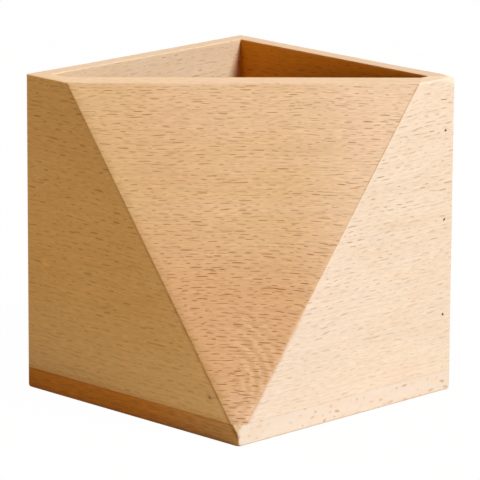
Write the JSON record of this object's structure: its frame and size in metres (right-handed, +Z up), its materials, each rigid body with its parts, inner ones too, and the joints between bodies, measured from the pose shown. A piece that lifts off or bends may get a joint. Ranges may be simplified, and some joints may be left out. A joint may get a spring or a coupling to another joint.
{
  "type": "pen holder",
  "caption": "Square beech pen holder whose front corner is cut off by a slanted three-cornered panel; pens stand in it.",
  "frame": {"origin": "middle of the flat underside, on the surface that the holder stands on", "axes": "+Z up; the four walls face along X and Y; the cut corner with the slanted panel points to +X and -Y"},
  "size_m": [0.094, 0.094, 0.1],
  "materials": {
    "beech_base": "sanded beech with a thin satin oil finish",
    "beech_left_wall": "sanded beech with a thin satin oil finish",
    "beech_right_wall": "sanded beech with a thin satin oil finish",
    "beech_back_left_wall": "sanded beech with a thin satin oil finish",
    "beech_back_right_wall": "sanded beech with a thin satin oil finish",
    "beech_facet_panel": "sanded beech with a thin satin oil finish",
    "pin_steel": "plain steel wire, dulled"
  },
  "bodies": {
    "root": {"base_board": "beech_base", "left_wall": "beech_left_wall", "right_wall": "beech_right_wall", "back_left_wall": "beech_back_left_wall", "back_right_wall": "beech_back_right_wall", "front_facet_panel": "beech_facet_panel", "right_corner_pin_1": "pin_steel", "right_corner_pin_2": "pin_steel", "right_corner_pin_3": "pin_steel", "back_corner_pin_1": "pin_steel", "back_corner_pin_2": "pin_steel", "back_corner_pin_3": "pin_steel", "left_corner_pin_1": "pin_steel", "left_corner_pin_2": "pin_steel", "left_corner_pin_3": "pin_steel", "facet_pin": "pin_steel"}
  },
  "joints": []
}
